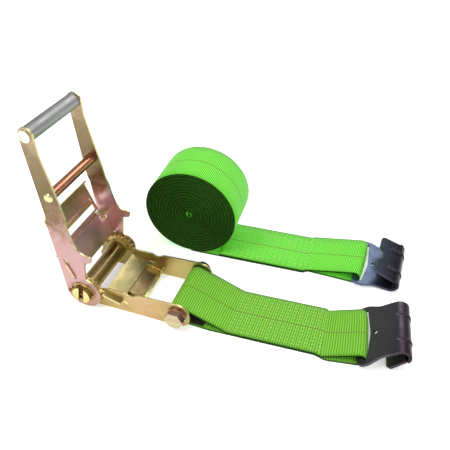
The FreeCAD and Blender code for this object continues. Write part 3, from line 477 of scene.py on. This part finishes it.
def ribbon(route, width, threads=8):
    """Extrudes one pick of the weave along a route seen from the side, and maps the length."""
    cloth = bmesh.new()
    bmesh.ops.create_grid(cloth, x_segments=1, y_segments=threads, size=width / 2 * MM)
    start = [v for v in cloth.verts if v.co.x < 0]
    bmesh.ops.delete(cloth, geom=[v for v in cloth.verts if v.co.x > 0], context="VERTS")
    bmesh.ops.translate(cloth, verts=start, vec=Vector((
        AXLE_X + route[0][0] * MM - start[0].co.x, MIDDLE_Y, route[0][1] * MM)))
    length = cloth.verts.layers.float.new("length")
    pick, run = cloth.edges[:], 0.0
    for (x0, z0), (x1, z1) in zip(route, route[1:]):
        step = Vector((x1 - x0, 0, z1 - z0)) * MM
        run += step.length
        grown = bmesh.ops.extrude_edge_only(cloth, edges=pick)["geom"]
        row = {v for v in grown if isinstance(v, bmesh.types.BMVert)}
        bmesh.ops.translate(cloth, vec=step, verts=list(row))
        for v in row:
            v[length] = run
        pick = [e for e in grown
                if isinstance(e, bmesh.types.BMEdge) and set(e.verts) <= row]
    weave = cloth.loops.layers.uv.new("weave")
    for face in cloth.faces:
        face.smooth = True
        for corner in face.loops:
            corner[weave].uv = (corner.vert[length],
                                corner.vert.co.y - MIDDLE_Y + width / 2 * MM)
    return cloth, run


def bend(cx, cz, radius, start, end, step=7.5):
    """Points round a bend, by angle in degrees."""
    count = max(2, int(abs(end - start) / step))
    turns = [math.radians(start + (end - start) * k / count) for k in range(count + 1)]
    return [(cx + radius * math.cos(a), cz + radius * math.sin(a)) for a in turns]


def flat_run(x0, x1, z, step=6.0):
    """Points of a straight run, both ends left out."""
    count = max(2, int(abs(x1 - x0) / step))
    return [(x0 + (x1 - x0) * k / count, z) for k in range(1, count)]


def touch(cx, cz, radius, x, z, side):
    """Angle at which webbing from (x, z) meets a round."""
    reach = math.hypot(x - cx, z - cz)
    return math.degrees(math.atan2(z - cz, x - cx) + side * math.acos(radius / reach))


def round_bolt(radius, x_top, z_top, z_low):
    low = touch(BOLT_X, BOLT_Z, radius, SHORT_FLAT, z_low, -1)
    high = touch(BOLT_X, BOLT_Z, radius, x_top, z_top, 1)
    return bend(BOLT_X, BOLT_Z, radius, low, high - 360)


def smooth(t):
    t = min(1.0, max(0.0, t))
    return t * t * (3 - 2 * t)


def drift(x):
    """The short strap lies a little askew."""
    return math.tan(math.radians(SHORT_SKEW)) * (x - BOLT_X - SKEW_FROM)


CORNER_PULL, CORNER_LIFT = 2.4, 2.5     # how the loop's corners draw in and lift
CORNER_RUN = 30                         # length over which they do


def draw_in(v, bar):
    """Rounds the end of a hook loop: its corners draw back, and the near one lifts."""
    x, y = (v.co.x - AXLE_X) / MM, (v.co.y - MIDDLE_Y) / MM
    corner = smooth((x - bar + CORNER_RUN) / CORNER_RUN) * (abs(y) / (WEB / 2)) ** 4
    v.co.x -= CORNER_PULL * corner * MM
    if v.co.z > BAR_Z * MM and y < 0:
        v.co.z += CORNER_LIFT * corner * MM


def settle_short(verts):
    """Lets the short strap run askew, and turns its hook end with the hook."""
    pivot = at(SHORT_BAR, drift(SHORT_BAR), 0)
    for v in verts:
        draw_in(v, SHORT_BAR)
        x = (v.co.x - AXLE_X) / MM
        v.co.y += drift(x) * MM
        turn = math.radians(SHORT_YAW) * smooth((x - SHORT_SEWN + HOOK_EASE) / HOOK_EASE)
        away = v.co - pivot
        v.co = pivot + Matrix.Rotation(turn, 3, "Z") @ away


def double_ply(cloth, name, body, slot, thickness, *materials):
    mesh = bpy.data.meshes.new(name)
    cloth.to_mesh(mesh)
    cloth.free()
    piece = own_piece(name, mesh, body, slot, *materials)
    ply = piece.modifiers.new("ply", "SOLIDIFY")
    ply.thickness, ply.offset = thickness * MM, 0
    if len(materials) > 1:
        ply.material_offset_rim = 1
    return piece


short_green = woven("polyester_rib_short", "#A9E04C", "#6ABC22", "#3E8C12", "#3A7A1C",
                    "#6E6A24", 4.0)
# The webbing's cut sides, the rims of its plies: near-black green, painted shade for the roll's
# shadowed end face and the gaps between its turns.
raw_edge, edge_shader = new_material("webbing_edge_painted_shade")
thread_way = add(raw_edge, "TexCoord")
packed = add(raw_edge, "TexNoise", {"Vector": thread_way.outputs["Object"], "Scale": 700.0,
                                    "Detail": 2.0})
deep = add(raw_edge, "ValToRGB", {0: packed.outputs["Fac"]},
           stops=[(0.3, "#0C2404"), (0.7, "#24480A")])
wire(raw_edge, deep.outputs[0], edge_shader, "Base Color")
edge_shader.inputs["Roughness"].default_value = 0.8
edge_shader.inputs["Specular IOR Level"].default_value = 0.05

BUTT, BUTT_GAP = 300.0, 0.4      # where the two ends meet, in the lower layer
hook_meets = touch(SHORT_BAR, BAR_Z, BAR_LOOP, SHORT_SEWN, HIGH, -1)
short_route = ([(BUTT, LOW)] + flat_run(BUTT, SHORT_FLAT, LOW)
               + round_bolt(BOLT_LOOP, SHORT_SEW, HIGH, LOW)
               + flat_run(SHORT_SEW, SHORT_SEWN, HIGH)
               + bend(SHORT_BAR, BAR_Z, BAR_LOOP, hook_meets % 360, -90)
               + flat_run(SHORT_BAR, BUTT, LOW) + [(BUTT + BUTT_GAP, LOW)])
cloth, short_length = ribbon(short_route, WEB)
settle_short(cloth.verts)
short_strap = double_ply(cloth, "short_strap_webbing", "short_strap", "webbing", SHORT_PLY,
                         short_green, raw_edge)
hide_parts("short_strap")

# The stitching: bonded polyester thread, paler than the webbing, in rows lengthwise. Each
# stitch stands proud as a flat bead, with a gap of a little over half its length.
ROWS = 12
STITCH, STITCH_GIRTH, STITCH_RISE = 6.6, 0.62, 0.55     # length, and half width and height
STITCH_PITCH = 1.6      # from one stitch to the next, in stitches
STAGGER = 0.2           # every other row, in stitches
ROW_SPAN = WEB - 8
STITCH_Z = 2 * WEB_T + 0.05


def stitches(name, body, x0, x1, place, material):
    seam = bmesh.new()
    count = int((x1 - x0) / (STITCH_PITCH * STITCH))
    for row in range(ROWS):
        y = (row + 0.5) / ROWS * ROW_SPAN - ROW_SPAN / 2
        for k in range(count):
            x = x0 + (STITCH_PITCH * k + 0.5 + STAGGER * (row % 2)) * STITCH
            bead = bmesh.ops.create_icosphere(seam, subdivisions=1, radius=1)["verts"]
            size = Matrix.Diagonal((STITCH / 2 * MM, STITCH_GIRTH * MM, STITCH_RISE * MM, 1))
            bmesh.ops.transform(seam, verts=bead,
                                matrix=Matrix.Translation(at(x, y, STITCH_Z)) @ size)
    place(seam.verts)
    for face in seam.faces:
        face.smooth = True
    mesh = bpy.data.meshes.new(name)
    seam.to_mesh(mesh)
    seam.free()
    return own_piece(name, mesh, body, "webbing", material)


def sewing_thread(name, light, dark):
    thread, shader = new_material(name)
    spot = add(thread, "TexCoord")
    twist = add(thread, "TexWave", {"Vector": spot.outputs["Object"], "Scale": 420.0,
                                    "Distortion": 1.5}, bands_direction="DIAGONAL")
    shade = add(thread, "ValToRGB", {0: twist.outputs["Fac"]}, stops=[(0.1, dark), (0.6, light)])
    wire(thread, shade.outputs[0], shader, "Base Color")
    shader.inputs["Roughness"].default_value = 0.5
    shader.inputs["Sheen Weight"].default_value = 0.3
    return thread


pale_thread = sewing_thread("bonded_thread_pale", "#D4F0AE", "#8FCB62")
stitches("short_strap_stitches", "short_strap", SHORT_SEW + 4, SHORT_SEWN - 2,
         settle_short, pale_thread)

# The lining in the bolt loop: a dark brown strip between webbing and steel, painted shade that
# fills the dark between the loop's layers.
LINING_R, LINING_END = 14.0, 212.0
LINING_WIDTH, LINING_T = WEB - 4.4, 1.3
LINING_GAP, HALF_SLEEVE = 0.2, 0.75     # its place over the lower layer of webbing
lining_brown, lining = new_material("bolt_loop_painted_shade_strip")
strip = add(lining_brown, "TexCoord")
knit = add(lining_brown, "TexWave", {"Vector": strip.outputs["Object"], "Scale": 260.0,
                                     "Distortion": 1.0}, bands_direction="Y")
# Near-black browns: painted shade inside the bolt loop.
brown = add(lining_brown, "ValToRGB", {0: knit.outputs["Fac"]},
            stops=[(0.2, "#1B1310"), (0.8, "#3A2C20")])
knitted = add(lining_brown, "Bump", {"Height": knit.outputs["Fac"], "Strength": 0.5,
                                     "Distance": 0.0002})
wire(lining_brown, brown.outputs[0], lining, "Base Color")
wire(lining_brown, knitted.outputs[0], lining, "Normal")
lining.inputs["Roughness"].default_value = 0.85
LINING_LOW = WEB_T + LINING_GAP + HALF_SLEEVE
round_sleeve = round_bolt(LINING_R, SHORT_SEW, LINING_LOW, LINING_LOW)
ax, az = round_sleeve[-1]
share = (LINING_END - ax) / (SHORT_SEW - ax)
lining_route = [(LINING_END, LINING_LOW + 0.1)] + round_sleeve + [
    (LINING_END, az + (LINING_LOW - az) * share)]
cloth, lining_length = ribbon(lining_route, LINING_WIDTH)
settle_short(cloth.verts)
lining_piece = double_ply(cloth, "wear_lining", "short_strap", "wear_lining", LINING_T,
                          lining_brown)
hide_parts("wear_sleeve")

# ------------------------------------------------------------------ long strap
# The same webbing, nearly nine metres of it, rolled from a folded core. It runs off the bottom of
# the roll along the floor, goes round the second hook's bar and is sewn back on itself.
COIL_X, COIL_Y, COIL_R, CORE_R, WIND = 114.0, 182.0, 90.0, 6.0, 3.0
LONG_SEW, LONG_SEWN, LONG_BAR, LONG_SKEW, LONG_YAW = 172.0, 350.0, 436.0, 3.0, -4.0
HOOK_END = 30           # before the end of the sewing, where the hook end begins
CORE_FOLD = ((-3.4, 0.9), (-4.2, 0.3), (-2.6, 0.0), (0.0, 0.0), (2.8, 0.0))     # radius, angle
STEPS_A_TURN = 60
FACE_INSET = 1.45       # from the roll's outside to the middle of its last turn
WAVER, WAVER_RATE = 0.12, 9.1           # unevenness of the winding


def settle_long(verts):
    """Turns the long strap's hook end with the hook, then lays the whole strap in place."""
    bar, roll = at(LONG_BAR, 0, 0), at(COIL_X, COIL_Y, 0)
    for v in verts:
        x = (v.co.x - AXLE_X) / MM
        if x > LONG_SEWN - HOOK_END:
            draw_in(v, LONG_BAR)
            turn = math.radians(LONG_YAW) * smooth((x - LONG_SEWN + HOOK_EASE) / HOOK_EASE)
            v.co = bar + Matrix.Rotation(turn, 3, "Z") @ (v.co - bar)
        v.co.y += COIL_Y * MM
        v.co = roll + Matrix.Rotation(math.radians(LONG_SKEW), 3, "Z") @ (v.co - roll)


# The long strap gets a faint glow: painted light that makes it brighter than the lamps do.
long_green = woven("polyester_rib_long", "#A6FF58", "#62E236", "#359E1C", "#2F8420",
                   "#6A7424", 3.0, glow=0.06)
turns = (COIL_R - WEB_T / 2 - CORE_R) / WIND
spiral_steps = int(turns * STEPS_A_TURN)
inward = math.radians(-90 + 360 * turns)
roll_route = [(COIL_X + r * math.cos(inward - t), COIL_R + r * math.sin(inward - t))
              for r, t in CORE_FOLD]
for k in range(spiral_steps + 1):
    wound = k / STEPS_A_TURN
    radius = COIL_R - FACE_INSET - WIND * (turns - wound)
    radius += WAVER * math.sin(wound * WAVER_RATE) * min(1.0, (turns - wound) / 2)
    a = math.radians(-90 + 360 * (turns - wound))
    roll_route.append((COIL_X + radius * math.cos(a), COIL_R + radius * math.sin(a)))
long_meets = touch(LONG_BAR, BAR_Z, BAR_LOOP, LONG_SEWN, HIGH, -1)
around_bar = bend(LONG_BAR, BAR_Z, BAR_LOOP, -90, long_meets % 360)
long_route = (roll_route + flat_run(COIL_X, LONG_BAR, LOW) + around_bar
              + flat_run(LONG_SEWN, LONG_SEW, HIGH) + [(LONG_SEW, HIGH)])
cloth, long_length = ribbon(long_route, WEB, 4)
settle_long(cloth.verts)
long_strap = double_ply(cloth, "long_strap_webbing", "long_strap", "webbing", WEB_T,
                        long_green, raw_edge)
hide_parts("long_strap")
stitches("long_strap_stitches", "long_strap", LONG_SEW + 6, LONG_SEWN - 2,
         settle_long, pale_thread)

# ------------------------------------------------------------------ flat hooks
# Two like hooks of 5 mm plate: a bar and slot for the webbing, a hole, and a lip turned over
# past the plate with two ribs pressed in it. Black oxide, oiled; the upper one is drawn in a
# lighter blue-grey copy of it, painted light.
OXIDE_GRAIN = 0.0006    # metres
OXIDE_CLOUDS = 55.0     # clouds of the film to a metre


def black_oxide(name, shades, rough, along, start, run):
    steel, shader = new_material(name)
    coords = add(steel, "TexCoord")
    place = coords.outputs["Object"]
    down = add(steel, "VectorMath", {0: place, 1: along}, operation="DOT_PRODUCT")
    share = add(steel, "MapRange", {"Value": down.outputs["Value"], "From Min": start,
                                    "From Max": start + run})
    clouds = add(steel, "TexNoise", {"Vector": place, "Scale": OXIDE_CLOUDS, "Detail": 4.0,
                                     "Distortion": 0.6})
    strayed = add(steel, "Math", {0: clouds.outputs["Fac"], 1: 0.3, 2: share.outputs[0]},
                  operation="MULTIPLY_ADD")
    shade = add(steel, "ValToRGB", {0: strayed.outputs[0]}, stops=shades)
    grain = add(steel, "TexNoise", {"Vector": place, "Scale": 1 / OXIDE_GRAIN, "Detail": 2.0})
    dull = add(steel, "MapRange", {"Value": clouds.outputs["Fac"], "From Min": 0.3,
                                   "From Max": 0.7, "To Min": rough - 0.06,
                                   "To Max": rough + 0.08})
    pitted = add(steel, "Bump", {"Height": grain.outputs["Fac"], "Strength": 0.2,
                                 "Distance": 0.0001})
    shader.inputs["Metallic"].default_value = 0.85
    wire(steel, shade.outputs[0], shader, "Base Color")
    wire(steel, dull.outputs[0], shader, "Roughness")
    wire(steel, pitted.outputs[0], shader, "Normal")
    return steel


long_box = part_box("long_hook")
# The upper hook's lighter blue-grey is painted light; the lower keeps the plain dark oxide.
blue_black = black_oxide("long_hook_oxide_painted_light", [(0.0, "#5A677D"), (0.5, "#4C586E"),
                                             (0.75, "#454552"), (1.0, "#2C2A34")],
                         0.34, (1, 0, 0), long_box[0][0] + 0.01, 0.075)
charcoal = black_oxide("short_hook_oxide", [(0.0, "#57545A"), (0.6, "#4C494F"),
                                            (1.0, "#2E1E28")],
                       0.4, (1, 0, 0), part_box("short_hook")[0][0] + 0.01, 0.09)
pressed("short_hook", "short_hook", "short_hook_steel", charcoal, 0.7)
pressed("long_hook", "long_hook", "long_hook_steel", blue_black, 0.7)
